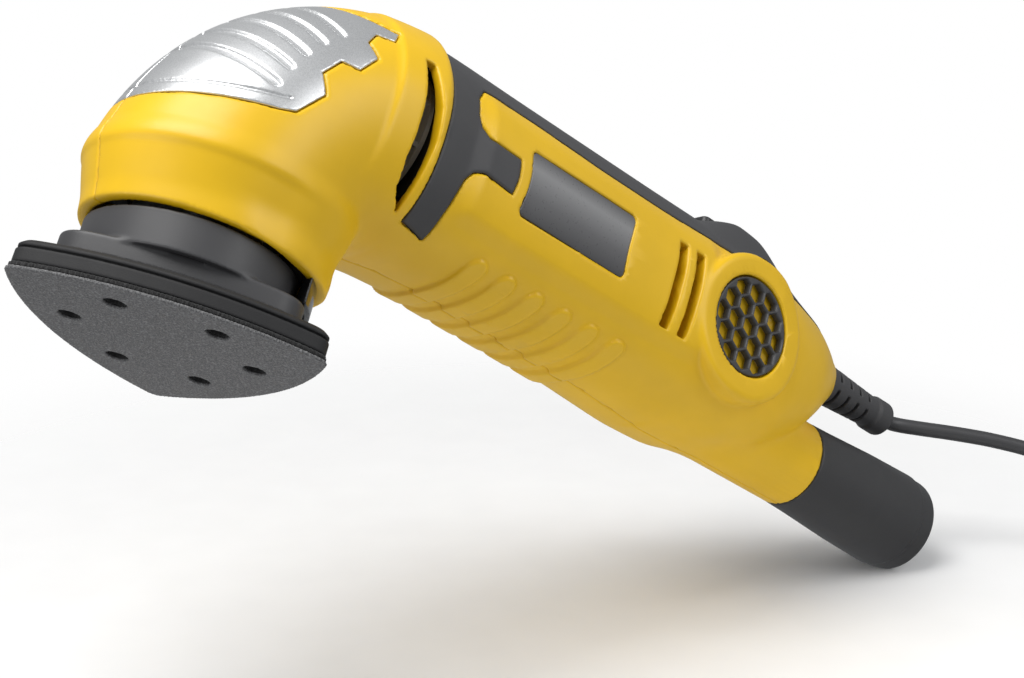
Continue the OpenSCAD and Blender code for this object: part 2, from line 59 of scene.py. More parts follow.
def add_camera():
    data = bpy.data.cameras.new("camera")
    data.lens = LENS
    data.sensor_width = SENSOR
    data.clip_start = 0.01
    data.clip_end = 20
    cam = bpy.data.objects.new("camera", data)
    bpy.context.scene.collection.objects.link(cam)
    right, up, back = Vector(CAMERA_RIGHT), -Vector(CAMERA_DOWN), -Vector(CAMERA_AHEAD)
    turn = Matrix((right, up, back)).transposed().to_4x4()
    cam.matrix_world = Matrix.Translation(Vector(CAMERA_AT) * MM) @ turn
    bpy.context.scene.camera = cam


add_camera()


# ---------------------------------------------------------------- materials
def material(name):
    """A new material, with a Principled shader wired to its output."""
    m = bpy.data.materials.new(name)
    m.use_nodes = True
    nt = m.node_tree
    nt.nodes.clear()
    out = nt.nodes.new("ShaderNodeOutputMaterial")
    shader = nt.nodes.new("ShaderNodeBsdfPrincipled")
    nt.links.new(shader.outputs["BSDF"], out.inputs["Surface"])
    return m, nt, shader


def noise(nt, scale, detail=3.0, rough=0.5, stretch=None):
    """Noise in object space, drawn out along an axis where stretch is small."""
    coord = nt.nodes.new("ShaderNodeTexCoord")
    tex = nt.nodes.new("ShaderNodeTexNoise")
    tex.inputs["Scale"].default_value = scale
    tex.inputs["Detail"].default_value = detail
    tex.inputs["Roughness"].default_value = rough
    if stretch is None:
        nt.links.new(coord.outputs["Object"], tex.inputs["Vector"])
    else:
        mapping = nt.nodes.new("ShaderNodeMapping")
        mapping.inputs["Scale"].default_value = stretch
        nt.links.new(coord.outputs["Object"], mapping.inputs["Vector"])
        nt.links.new(mapping.outputs["Vector"], tex.inputs["Vector"])
    return tex.outputs["Fac"]


def ramp(nt, fac, stops):
    node = nt.nodes.new("ShaderNodeValToRGB")
    nt.links.new(fac, node.inputs["Fac"])
    elements = node.color_ramp.elements
    while len(elements) < len(stops):
        elements.new(0.5)
    for element, (place, colour) in zip(elements, stops):
        element.position = place
        element.color = (*colour, 1)
    return node.outputs["Color"]


def span(nt, fac, low, high):
    """fac, from 0 to 1, spread over low to high."""
    node = nt.nodes.new("ShaderNodeMapRange")
    node.inputs["To Min"].default_value = low
    node.inputs["To Max"].default_value = high
    nt.links.new(fac, node.inputs["Value"])
    return node.outputs["Result"]


def bump(nt, shader, height, strength, distance):
    node = nt.nodes.new("ShaderNodeBump")
    node.inputs["Strength"].default_value = strength
    node.inputs["Distance"].default_value = distance
    nt.links.new(height, node.inputs["Height"])
    nt.links.new(node.outputs["Normal"], shader.inputs["Normal"])


def tint(colour, gain):
    return tuple(min(1.0, c * gain) for c in colour)


def plastic(name, colour, rough=(0.3, 0.42), grain=2600, grain_depth=0.00004, vary=0.06, coat=0.0):
    """Moulded plastic or rubber: fine spark-eroded texture, faint cloudy colour, uneven gloss."""
    m, nt, shader = material(name)
    cloud = noise(nt, 22, 4, 0.6)
    base = ramp(nt, cloud, [(0.3, tint(colour, 1 - vary)), (0.7, tint(colour, 1 + vary))])
    nt.links.new(base, shader.inputs["Base Color"])
    nt.links.new(span(nt, noise(nt, 160, 5, 0.65), *rough), shader.inputs["Roughness"])
    bump(nt, shader, noise(nt, grain, 2, 0.5), 0.35, grain_depth)
    shader.inputs["Coat Weight"].default_value = coat
    shader.inputs["Coat Roughness"].default_value = 0.12
    return m


def silver_paint():
    """Metallic paint: fine flake, with faint streaks drawn across the head."""
    m, nt, shader = material("silver_paint")
    flake = noise(nt, 2600, 2, 0.5)
    streak = noise(nt, 60, 3, 0.6, (1, 0.12, 1))
    base = ramp(nt, flake, [(0.35, (0.62, 0.63, 0.64)), (0.65, (0.76, 0.77, 0.78))])
    nt.links.new(base, shader.inputs["Base Color"])
    nt.links.new(span(nt, streak, 0.26, 0.42), shader.inputs["Roughness"])
    bump(nt, shader, flake, 0.2, 0.00002)
    shader.inputs["Metallic"].default_value = 0.8
    shader.inputs["Coat Weight"].default_value = 0.15
    shader.inputs["Coat Roughness"].default_value = 0.25
    return m


def metal(name, colour, rough=(0.2, 0.34), stretch=(1, 1, 1), scale=700):
    """Bare metal with fine brushed or cast marks."""
    m, nt, shader = material(name)
    brushed = noise(nt, scale, 4, 0.6, stretch)
    base = ramp(nt, brushed, [(0.3, tint(colour, 0.85)), (0.7, tint(colour, 1.1))])
    nt.links.new(base, shader.inputs["Base Color"])
    nt.links.new(span(nt, brushed, *rough), shader.inputs["Roughness"])
    bump(nt, shader, brushed, 0.2, 0.00005)
    shader.inputs["Metallic"].default_value = 1.0
    return m


def abrasive():
    """Coated grit: pale and dark grains packed on grey resin."""
    m, nt, shader = material("abrasive")
    coord = nt.nodes.new("ShaderNodeTexCoord")
    grit = nt.nodes.new("ShaderNodeTexVoronoi")
    grit.inputs["Scale"].default_value = 1900
    nt.links.new(coord.outputs["Object"], grit.inputs["Vector"])
    speck = noise(nt, 1800, 3, 0.7)
    mix = nt.nodes.new("ShaderNodeMix")
    mix.data_type = "FLOAT"
    mix.inputs["Factor"].default_value = 0.45
    nt.links.new(grit.outputs["Distance"], mix.inputs[2])
    nt.links.new(speck, mix.inputs[3])
    grey = ramp(nt, mix.outputs[0], [
        (0.22, (0.055, 0.055, 0.057)), (0.48, (0.115, 0.115, 0.118)), (0.78, (0.22, 0.22, 0.225)),
    ])
    nt.links.new(grey, shader.inputs["Base Color"])
    nt.links.new(span(nt, speck, 0.7, 0.95), shader.inputs["Roughness"])
    bump(nt, shader, mix.outputs[0], 0.7, 0.00025)
    return m


def fibres(name, dark, light, scale=1600):
    """Short matt fibres, as on a hook and loop face."""
    m, nt, shader = material(name)
    strand = noise(nt, scale, 4, 0.8, (1, 1, 0.35))
    base = ramp(nt, strand, [(0.35, dark), (0.7, light)])
    nt.links.new(base, shader.inputs["Base Color"])
    shader.inputs["Roughness"].default_value = 0.95
    shader.inputs["Sheen Weight"].default_value = 0.12
    bump(nt, shader, strand, 0.9, 0.0004)
    return m


# Lower and upper edge of the nameplate
PLATE_Z = (78.5, 101.0)


def plate_print():
    """Dark print with painted light: a painted highlight band three quarters of the way up, and
    painted shade towards its lower and upper edges.
    """
    m, nt, shader = material("plate_print")
    coord = nt.nodes.new("ShaderNodeTexCoord")
    split = nt.nodes.new("ShaderNodeSeparateXYZ")
    nt.links.new(coord.outputs["Object"], split.inputs["Vector"])
    across = nt.nodes.new("ShaderNodeMapRange")
    across.inputs["From Min"].default_value = PLATE_Z[0] * MM
    across.inputs["From Max"].default_value = PLATE_Z[1] * MM
    nt.links.new(split.outputs["Z"], across.inputs["Value"])
    # painted highlight and painted shade: the grey is lightest three quarters of the way up the plate,
    # darker at its lower and upper edges
    grey = ramp(nt, across.outputs["Result"], [
        (0.0, (0.06, 0.06, 0.063)), (0.35, (0.12, 0.12, 0.124)),
        (0.75, (0.25, 0.25, 0.255)), (1.0, (0.10, 0.10, 0.104)),
    ])
    nt.links.new(grey, shader.inputs["Base Color"])
    nt.links.new(span(nt, noise(nt, 900, 2), 0.25, 0.32), shader.inputs["Roughness"])
    return m


YELLOW = plastic("yellow_plastic", (0.77, 0.468, 0.004), (0.36, 0.46), coat=0.03)
RUBBER = plastic("grip_rubber", (0.052, 0.052, 0.055), (0.52, 0.66), 3200, 0.00007)
BLACK = plastic("black_plastic", (0.035, 0.035, 0.037), (0.34, 0.48), 3000, 0.00005)
CHUTE = plastic("chute_plastic", (0.012, 0.012, 0.013), (0.10, 0.18), 900, 0.00003, coat=0.5)
GREY_BLACK = plastic("grille_plastic", (0.05, 0.05, 0.053), (0.35, 0.5), 3000, 0.00005)
ROCKER = plastic("rocker_plastic", (0.02, 0.02, 0.021), (0.2, 0.3), 3000, 0.00003, coat=0.2)
ADAPTER = plastic("adapter_plastic", (0.036, 0.036, 0.038), (0.42, 0.55), 3600, 0.00007)
CARRIER = plastic("carrier_plastic", (0.05, 0.05, 0.053), (0.40, 0.52), 2600, 0.00005)
FOAM = plastic("pad_foam", (0.010, 0.010, 0.011), (0.6, 0.75), 2600, 0.00016)
DAMPER = plastic("damper_rubber", (0.03, 0.03, 0.03), (0.6, 0.7))
LEAD = plastic("lead_pvc", (0.045, 0.045, 0.048), (0.36, 0.48), 1800, 0.00006)
CARBON = plastic("carbon", (0.03, 0.03, 0.03), (0.5, 0.7), 2000, 0.0001)
FAN = plastic("fan_nylon", (0.7, 0.68, 0.6), (0.4, 0.5))
FILM = plastic("capacitor_film", (0.7, 0.5, 0.08), (0.2, 0.3))
SILVER = silver_paint()
# dark print with a painted highlight band and painted shade across its height
PLATE_PRINT_AND_SHADE = plate_print()
STEEL = metal("bright_steel", (0.62, 0.62, 0.64))
PLATED = metal("plated_pins", (0.7, 0.68, 0.62), (0.12, 0.22), (1, 0.15, 1))
OXIDE = metal("black_steel", (0.10, 0.10, 0.11), (0.35, 0.5))
ZINC = metal("cast_zinc", (0.45, 0.45, 0.47), (0.4, 0.6), (1, 1, 1), 300)
IRON = metal("lamination", (0.35, 0.35, 0.36), (0.35, 0.5), (8, 0.3, 0.3), 500)
COPPER = metal("copper", (0.62, 0.27, 0.12), (0.25, 0.4), (1, 4, 4), 400)
BRASS = metal("brass_tube", (0.65, 0.5, 0.2))
GRIT = abrasive()
HOOK = fibres("hook_fabric", (0.004, 0.004, 0.004), (0.035, 0.035, 0.036))

NODE_MATERIALS = {
    "housing_left": YELLOW, "housing_right": YELLOW, "head_cover_left": SILVER,
    "head_cover_right": SILVER, "grip_left": RUBBER, "grip_right": RUBBER, "cord_guard": RUBBER,
    "nameplate_left": PLATE_PRINT_AND_SHADE, "nameplate_right": PLATE_PRINT_AND_SHADE, "vent_grille_left": GREY_BLACK,
    "vent_grille_right": GREY_BLACK, "switch_frame": BLACK, "switch_body": BLACK,
    "cord_clamp": BLACK, "dust_duct": BLACK, "dust_elbow": BLACK, "air_baffle": BLACK,
    "switch_rocker": ROCKER, "dust_adapter": ADAPTER, "power_cord": LEAD, "cord_coil": LEAD,
    "plug_body": LEAD, "plug_pins": PLATED, "motor_shaft": STEEL, "spindle": STEEL,
    "crown_gear": STEEL, "pinion": STEEL, "upper_bearing": STEEL, "lower_bearing": STEEL,
    "pad_bearing": STEEL, "front_bearing": STEEL, "rear_bearing": STEEL, "brush_springs": STEEL,
    "housing_screws": OXIDE, "clamp_screws": OXIDE, "gear_housing_screws": OXIDE,
    "pad_screw": OXIDE, "gear_housing": ZINC, "counterweight": ZINC, "pad_carrier": CARRIER,
    "pad_dampers": DAMPER, "pad_cushion": FOAM, "hook_layer": HOOK, "sanding_sheet": GRIT,
    "armature_core": IRON, "stator_core": IRON, "armature_winding": COPPER,
    "stator_coils": COPPER, "commutator": COPPER, "fan": FAN, "brush_holders": BRASS,
    "carbon_brushes": CARBON, "capacitor": FILM,
}
for node, finish in NODE_MATERIALS.items():
    for place in bpy.data.objects[node].material_slots:
        place.material = finish


# ---------------------------------------------------------------- distances, in millimetres
def smin(a, b, k):
    """The smaller of two distances, with their edge rounded over k."""
    h = np.clip(0.5 + 0.5 * (b - a) / k, 0, 1)
    return b * (1 - h) + a * h - k * h * (1 - h)


def smax(a, b, k):
    """The larger of two distances, with their edge rounded over k."""
    return -smin(-a, -b, k)


def step_up(v, low, high):
    """0 below low, 1 above high, smooth between."""
    t = np.clip((v - low) / (high - low), 0, 1)
    return t * t * (3 - 2 * t)


def hump(v, low, high, soft):
    """1 between low and high, 0 outside, smooth over soft either side of both."""
    return step_up(v, low - soft, low + soft) * (1 - step_up(v, high - soft, high + soft))


def outline(u, v, points):
    """Distance to a closed polygon, negative inside."""
    best = None
    inside = None
    for (ax, ay), (bx, by) in zip(points, points[1:] + points[:1]):
        ex, ey = bx - ax, by - ay
        wx, wy = u - ax, v - ay
        t = np.clip((wx * ex + wy * ey) / (ex * ex + ey * ey), 0, 1)
        d = (wx - t * ex) ** 2 + (wy - t * ey) ** 2
        best = d if best is None else np.minimum(best, d)
        crosses = ((ay > v) != (by > v)) & (u < (bx - ax) * (v - ay) / (by - ay + 1e-9) + ax)
        inside = crosses if inside is None else inside ^ crosses
    return np.where(inside, -1.0, 1.0) * np.sqrt(best)


def slab(z, low, high):
    return np.abs(z - (low + high) / 2) - (high - low) / 2


def round_box(u, v, cu, cv, hu, hv, r):
    """Distance to a rectangle of half sides hu and hv round cu, cv, with corners of radius r."""
    du, dv = np.abs(u - cu) - hu + r, np.abs(v - cv) - hv + r
    return np.hypot(np.maximum(du, 0), np.maximum(dv, 0)) + np.minimum(np.maximum(du, dv), 0) - r


def unit_field(f, x, y, z):
    """f divided by its slope, so that it measures millimetres near its surface."""
    e = 0.25
    value = f(x, y, z)
    slope = np.sqrt(
        (f(x + e, y, z) - value) ** 2 + (f(x, y + e, z) - value) ** 2
        + (f(x, y, z + e) - value) ** 2
    ) / e
    return value / np.maximum(slope, 1e-4)


# ---------------------------------------------------------------- meshing
def add_object(name, verts, faces, finish, body, *replaced, slot_name=None):
    """A smooth-shaded piece, in metres, that rides on a body and stands for CAD nodes."""
    mesh = bpy.data.meshes.new(name)
    mesh.from_pydata([tuple(v) for v in verts], [], [tuple(f) for f in faces])
    obj = bpy.data.objects.new(name, mesh)
    bpy.context.scene.collection.objects.link(obj)
    for face in mesh.polygons:
        face.use_smooth = True
    mesh.materials.append(finish)
    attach(obj, body)
    if replaced:
        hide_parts(*replaced)
    return obj


def contour(field, low, high, voxel):
    """Quads round field < 0 inside the box, with every vertex moved onto the exact surface."""
    margin, band = 3 * voxel, 4 * voxel
    axes = [np.arange(a - margin, b + margin, voxel, dtype=np.float32) for a, b in zip(low, high)]
    value = field(axes[0][:, None, None], axes[1][None, :, None], axes[2][None, None, :])
    value = np.clip(value, -band, band).astype(np.float32)
    value = np.broadcast_to(value, [len(a) for a in axes]).copy()
    grid = openvdb.FloatGrid(band)
    grid.copyFromArray(value)
    points, quads = grid.convertToQuads(isovalue=0.0)
    origin = np.array([a[0] for a in axes])
    points = points.astype(np.float64) * voxel + origin
    for _ in range(3):
        points = onto_surface(field, points, voxel)
    return points, quads[:, ::-1]


def onto_surface(field, points, voxel):
    """One Newton step towards field = 0, of 0.35 of a grid step at most."""
    e = 0.04
    x, y, z = points.T
    value = field(x, y, z)
    slope = np.stack([
        field(x + e, y, z) - field(x - e, y, z),
        field(x, y + e, z) - field(x, y - e, z),
        field(x, y, z + e) - field(x, y, z - e),
    ], 1) / (2 * e)
    size = np.maximum((slope ** 2).sum(1), 0.05)
    move = -(value / size)[:, None] * slope
    length = np.linalg.norm(move, axis=1, keepdims=True)
    limit = 0.35 * voxel
    return points + move * np.minimum(1, limit / np.maximum(length, 1e-9))


def thin_out(obj):
    """Merges small triangles where a piece has more than MOST_TRIANGLES."""
    triangles = sum(len(p.vertices) - 2 for p in obj.data.polygons)
    if triangles <= MOST_TRIANGLES:
        return
    modifier = obj.modifiers.new("thin", "DECIMATE")
    modifier.ratio = MOST_TRIANGLES / triangles
    depsgraph = bpy.context.evaluated_depsgraph_get()
    mesh = bpy.data.meshes.new_from_object(obj.evaluated_get(depsgraph))
    obj.modifiers.clear()
    old = obj.data
    obj.data = mesh
    bpy.data.meshes.remove(old)
    for face in obj.data.polygons:
        face.use_smooth = True


def solid(name, field, low, high, voxel, finish, body, *replaced, slot_name=None):
    """The piece where field < 0 inside the box from low to high, in millimetres."""
    points, quads = contour(field, low, high, voxel)
    obj = add_object(name, points * MM, quads, finish, body, *replaced, slot_name=slot_name)
    thin_out(obj)
    return obj


# ---------------------------------------------------------------- housing shape
# Handle sections: x, half width, centre height, rise above it, drop below it
STATIONS = np.array([
    [30, 38.5, 89, 37.5, 37], [50, 38.5, 89.5, 39.0, 38], [62, 36.5, 90.5, 38.7, 37],
    [85, 35.2, 91, 38.3, 36.5], [150, 34.6, 91, 38.3, 38], [185, 35.5, 90, 39.3, 39.3],
    [205, 35.5, 90, 38.8, 38.8], [225, 33.5, 91, 34.8, 34.8], [245, 28, 93, 28.1, 24.8],
    [256, 21.5, 96.5, 19.8, 15.5], [264, 14.5, 101, 12.6, 11.5], [268, 11.5, 103, 10.7, 10.2],
    [290, 8.5, 104, 8.5, 8.5],
])
TABLE_X = np.arange(0, 340, 1.0)


def smooth_row(values):
    """One measure of the sections along the handle, evened out by a bell curve."""
    reach, spread = 12, 3.2
    row = np.interp(TABLE_X, STATIONS[:, 0], values)
    kernel = np.exp(-0.5 * (np.arange(-reach, reach + 1) / spread) ** 2)
    return np.convolve(np.pad(row, reach, mode="edge"), kernel / kernel.sum(), mode="valid")


ROWS = [smooth_row(STATIONS[:, i]) for i in range(1, 5)]
HANDLE_FRONT = 30.0
HANDLE_END = 268.0
# Centre, bend radius and tube radius of the curved head
PIVOT = (56.5, 35.0)
ELBOW_R = 57.5
ELBOW_TUBE = 39.0
SPINDLE_X = -1.0
# Height of the drum's rim at its front, and its fall per millimetre towards the rear
RIM = (30.5, 0.045)
RIM_FRONT = -38.0
TUBE_R = 16.8
TUBE_Z = 68.2
OUTLET_END = 263.2
TUBE_START = 185.0
WALL = 3.8
GUARD_Z = 105.0
SWITCH_X = 203.0
COLLAR_TOP = 28.5


def handle(x, y, z):
    """Handle as a chain of rounded sections, fuller below the middle than above it."""
    half, centre, rise, drop = [np.interp(x, TABLE_X, row) for row in ROWS]
    lift = z - centre
    upper = lift > 0
    tall = np.where(upper, rise, drop)
    n = np.where(upper, 2.0, 2.6)
    a, b = np.abs(y) / half + 1e-6, np.abs(lift) / tall + 1e-6
    size = (a ** n + b ** n) ** (1 / n)
    return (size - 1) * np.minimum(half, tall)


def handle_skin(x, y, z):
    """Distance to the handle, cut off at its two ends."""
    d = unit_field(handle, x, y, z)
    d = smax(d, x - HANDLE_END, 2.5)
    return smax(d, HANDLE_FRONT - x, 1)


DRUM_Z = np.arange(20, 90, 0.5)
DRUM_ROW = np.interp(DRUM_Z, [24, 30, 35.4, 42, 46, 48.5, 50, 54, 62, 70, 90],
                     [33.6, 34.1, 34.8, 36.7, 37.8, 38.3, 38.3, 37.4, 35, 32.4, 22])
DRUM_ROW = np.convolve(np.pad(DRUM_ROW, 3, mode="edge"), np.ones(7) / 7, mode="valid")


def drum_radius(z):
    return np.interp(z, DRUM_Z, DRUM_ROW)


def elbow_angle(x, z):
    return np.degrees(np.arctan2(z - PIVOT[1], PIVOT[0] - x))


def head(x, y, z):
    """Round drum over the pad, and the bent tube that joins it to the handle."""
    rho = np.hypot(x - PIVOT[0], z - PIVOT[1])
    bend = np.hypot(rho - ELBOW_R, y) - ELBOW_TUBE
    bend = smax(bend, x - 47, 2)
    bend = smax(bend, 48 - z, 2)
    run = np.clip(x - SPINDLE_X, 0, 8)
    skirt = 1.7 * step_up(x, -22, 4) * (1 - step_up(z, 30, 40))
    drum = np.hypot(x - SPINDLE_X - run, y) - drum_radius(z) - skirt
    drum = smax(drum, x - 38.5 - 0.12 * (z - 30), 5)
    drum = smax(drum, z - 54, 4)
    return smin(bend, drum, 2.5)


def rim_plane(x, z):
    return RIM[0] - RIM[1] * (x - RIM_FRONT) - z


def tube_solid(x, y, z):
    d = np.hypot(y, z - TUBE_Z) - TUBE_R
    return smax(d, TUBE_START - x, 2)


# Side outlines, x and z
COVER = [
    (-60, 62.6), (-36, 62.8), (-27, 64.1), (-17, 65.2), (-6.6, 66.6), (-1.9, 68),
    (5.6, 77.5), (3.5, 84.3), (8.9, 91.4), (14.8, 91.2), (20.3, 98.5), (17.2, 103.2),
    (20.4, 108.4), (26.6, 108.9), (28.4, 113), (21.2, 114.6), (15.4, 116.2), (9, 118.5),
    (1.5, 122.5), (-1, 126), (-60, 160),
]
GRIP = [
    (49.3, 59.8), (60.4, 59.2), (60.3, 66), (60.9, 72.4), (61.8, 78.6), (64.0, 82.2),
    (67.5, 83.6), (80.2, 82.8), (81, 88.9), (80.2, 94.8), (66.5, 95.0), (63.0, 97.8),
    (61.4, 101.4), (61.4, 107.9), (64.0, 112.6), (88, 113.6), (118, 112.4), (149, 112.6),
    (168, 113.6), (186, 114.6), (222, 114.6), (240, 113.4), (252, 111.5), (262, 108),
    (262, 160), (49.3, 160),
]
LABEL_X = (84.6, 133.6)
GRILLE = (194.0, 88.5)
GRILLE_R = 18.0
RIB_X = [83.3 + 12.45 * i for i in range(6)]


def cover_area(x, z):
    """Distance to the silver cover's outline, seen from the side."""
    return outline(x, z, COVER)


def grip_area(x, z):
    """Distance to the soft grip's outline, seen from the side."""
    return outline(x, z, GRIP)


def label_area(x, z):
    """Rounded rectangle with its short ends bowed inwards."""
    middle, width = (LABEL_X[0] + LABEL_X[1]) / 2, (LABEL_X[1] - LABEL_X[0]) / 2
    centre, tall = (PLATE_Z[0] + PLATE_Z[1]) / 2, (PLATE_Z[1] - PLATE_Z[0]) / 2
    corner, bow = 2.6, 46.0
    box = round_box(x, z, middle, centre, width, tall, corner)
    for end in (-1, 1):
        scoop = bow - np.hypot(x - middle - end * (width - 1.3 + bow), z - centre)
        box = smax(box, scoop, 1.2)
    return box


def finger_ribs(x, z):
    """Distance to the nearest of the raised bars under the fingers, seen from the side."""
    lean, best = 0.12, None
    for place in RIB_X:
        d = round_box(x - lean * (z - 60), z, place, 48, 4.1, 14.6, 4.0)
        best = d if best is None else np.minimum(best, d)
    return best


def outer(x, y, z):
    """Outside of both housing halves, before the pockets."""
    body = handle_skin(x, y, z)
    side = step_up(z, 65.5, 71.5) * hump(x, 65, 176, 4) * (1 - step_up(z, 106, 118))
    body = body - 1.7 * side
    ribs = smax(finger_ribs(x, z), -(body + 3), 0.5)
    body = body - 1.3 * (1 - step_up(ribs, -0.9, 0.3))
    boss = np.hypot(x - GRILLE[0] - 1, z - GRILLE[1]) - 26.5
    boss = smax(boss, np.abs(y) - 37.3 + 0.10 * np.maximum(x - 206, 0), 3.0)
    body = smin(body, boss, 1.2)
    whole = smin(head(x, y, z), body, 4)
    return smin(whole, tube_solid(x, y, z), 3)


# Edges of the air slot at the neck, by height
SLOT_Z = [60.5, 65.5, 74, 83, 94, 106.5, 109]
SLOT_FRONT = [45.0, 40.4, 38.5, 38.6, 38.3, 37.2, 37.0]
SLOT_REAR = [45.6, 45.6, 46.1, 46.5, 45.0, 41.2, 40.2]


def neck_slot(x, y, z):
    d = np.maximum(np.interp(z, SLOT_Z, SLOT_FRONT) - x, x - np.interp(z, SLOT_Z, SLOT_REAR))
    d = smax(d, np.abs(z - 84) - 23.8, 0.6)
    return smax(d, 14 - np.abs(y), 1)


def side_vents(x, z):
    """Distance to the nearer of the two air slots in the side."""
    best = None
    for place in (157.0, 165.4):
        d = round_box(x - 0.02 * (z - 88), z, place, 87.4, 2.1, 15.8, 0.7)
        best = d if best is None else np.minimum(best, d)
    return best


SCREWS = ((-27, 57), (22, 113.5), (118, 121.5), (166, 77), (230, 109))


def screw_wells(x, y, z):
    """Distance to the nearest screw's well, on the right half only."""
    best = None
    for px, pz in SCREWS:
        d = smax(np.hypot(x - px, z - pz) - 3.1, 6 - y, 0.3)
        best = d if best is None else np.minimum(best, d)
    return best


def housing(x, y, z):
    """Both halves of the housing as one hollow shell, with its pockets and openings."""
    skin = outer(x, y, z)
    thick = WALL + 4.5 * hump(x, 146, 214, 4) * (1 - step_up(z, 108, 114)) * step_up(z, 64, 70)
    d = smax(skin, -(skin + thick), 0.4)
    collar_room = smax(np.hypot(x, y) - 34.1, z - COLLAR_TOP - 1.1, 0.3)
    d = smax(d, -collar_room, 0.3)
    d = smax(d, rim_plane(x, z), 1.0)
    # pockets for the cover, the grips and the nameplates
    d = smax(d, -smax(cover_area(x, z) - 0.45, -(skin + 1.7), 0.3), 0.3)
    pocket = smax(grip_area(x, z) - 0.35, -(skin + 1.6), 0.3)
    d = smax(d, -pocket, 0.35)
    d = smax(d, -smax(label_area(x, z) - 0.2, -(skin + 1.7), 0.2), 0.3)
    grille = smax(np.hypot(x - GRILLE[0], z - GRILLE[1]) - GRILLE_R - 0.15, 33 - np.abs(y), 0.3)
    d = smax(d, -grille, 0.4)
    d = smax(d, -neck_slot(x, y, z), 0.7)
    vents = np.maximum(side_vents(x, z), 12 - np.abs(y))
    d = smax(d, -vents, 0.5)
    d = smax(d, -screw_wells(x, y, z), 0.4)
    bore = smax(np.hypot(y, z - TUBE_Z) - 14.3, 188 - x, 0.5)
    d = smax(d, -bore, 0.3)
    d = smax(d, -smax(OUTLET_END - x, z - 87, 0.3), 0.4)
    guard = smax(np.hypot(y, z - GUARD_Z) - 8.3, 242 - x, 0.5)
    d = smax(d, -guard, 0.4)
    switch = np.maximum(round_box(x, y, SWITCH_X, 0, 15.3, 8.3, 2), 108 - z)
    return smax(d, -switch, 0.3)


def housing_half(side):
    def field(x, y, z):
        return smax(housing(x, y, z), 0.03 - side * y, 0.12)
    return field


def cover_low(x, z):
    """Distance above the cover's lower edge, as a negative number."""
    return np.interp(x, [-40, -27, -17, -6.6, -1.9], [62.7, 64.1, 65.2, 66.6, 68]) - z


def head_ribs(x, y, z):
    """Distance to the nearest of the five grooves across the cover."""
    angle = elbow_angle(x, z)
    rho = np.hypot(x - PIVOT[0], z - PIVOT[1])
    best = None
    for i in range(5):
        d = round_box((angle - 31.2 - 5.9 * i) * np.pi / 180 * rho, y, 0, 0, 1.3, 34.2 - 0.9 * i, 1.0)
        best = d if best is None else np.minimum(best, d)
    return best


def head_cover(side):
    def field(x, y, z):
        skin = outer(x, y, z)
        d = smax(skin + 0.05, -(skin + 1.6), 0.2)
        d = smax(d, cover_area(x, z), 0.45)
        d = smax(d, -smax(head_ribs(x, y, z), -(skin + 0.8), 0.4), 0.8)
        crease = np.abs(cover_low(x, z) + 4.2) - 0.45
        crease = smax(crease, x + 4, 0.5)
        d = smax(d, -smax(crease, -(skin + 0.5), 0.2), 0.35)
        return smax(d, 0.12 - side * y, 0.35)
    return field


def grip(side):
    def field(x, y, z):
        skin = outer(x, y, z)
        swell = 7.6 * hump(x, 189, 221, 12) * (1 - step_up(np.abs(y), 13, 26)) * step_up(z, 112, 122)
        d = smax(skin - 0.25 - swell, -(skin + 1.5), 0.5)
        d = smax(d, grip_area(x, z), 0.7)
        switch = np.maximum(round_box(x, y, SWITCH_X, 0, 15.2, 8.2, 2), 108 - z)
        d = smax(d, -switch, 0.5)
        return smax(d, 0.05 - side * y, 0.15)
    return field


def nameplate(side):
    def field(x, y, z):
        skin = outer(x, y, z)
        d = smax(skin + 0.35, -(skin + 1.65), 0.1)
        d = smax(d, label_area(x, z), 0.15)
        return np.maximum(d, 12 - side * y)
    return field


def grille(side):
    def field(x, y, z):
        u, v = x - GRILLE[0], z - GRILLE[1]
        depth = side * y
        d = smax(np.hypot(u, v) - 17.5, depth - 36.5, 0.6)
        d = np.maximum(d, 33.6 - depth)
        best = None
        pitch = 7.3
        for row in range(-3, 4):
            for col in range(-3, 4):
                cu = pitch * (col + (0.5 if row % 2 else 0))
                cv = pitch * 0.866 * row
                if math.hypot(cu, cv) > 19:
                    continue
                a, b = np.abs(u - cu), np.abs(v - cv)
                cell = np.maximum(a, a * 0.5 + b * 0.866) - 3.0
                best = cell if best is None else np.minimum(best, cell)
        cells = smax(best, np.hypot(u, v) - 16.4, 0.3)
        taper = 0.35 * np.clip(depth - 35.4, 0, 1.2)
        return smax(d, -(cells - taper), 0.35)
    return field


def mirrored(low, high, side):
    """The box given for the right half, turned over for the left one."""
    if side > 0:
        return low, high
    return (low[0], -high[1], low[2]), (high[0], -low[1], high[2])


for side, hand in ((-1, "left"), (1, "right")):
    low, high = mirrored((-46, 0, 20), (290, 42, 140), side)
    solid("housing_shell_" + hand, housing_half(side), low, high, VOXEL, YELLOW, "housing",
          "housing_" + hand, slot_name="yellow_plastic")
    low, high = mirrored((-46, 0, 56), (34, 42, 134), side)
    solid("head_cover_skin_" + hand, head_cover(side), low, high, FINE * 1.2, SILVER, "housing",
          "head_cover_" + hand, slot_name="silver_paint")
    low, high = mirrored((46, 0, 52), (266, 42, 142), side)
    solid("grip_skin_" + hand, grip(side), low, high, FINE * 1.5, RUBBER, "housing",
          "grip_" + hand, slot_name="grip_rubber")
    low, high = mirrored((82, 20, 74), (138, 42, 106), side)
    solid("nameplate_skin_" + hand, nameplate(side), low, high, FINE * 0.8, PLATE_PRINT_AND_SHADE, "housing",
          "nameplate_" + hand, slot_name="plate_print")
    low, high = mirrored((174, 31, 68), (214, 38.5, 108), side)
    solid("vent_grille_face_" + hand, grille(side), low, high, FINE * 0.7, GREY_BLACK, "housing",
          "vent_grille_" + hand, slot_name="black_plastic")


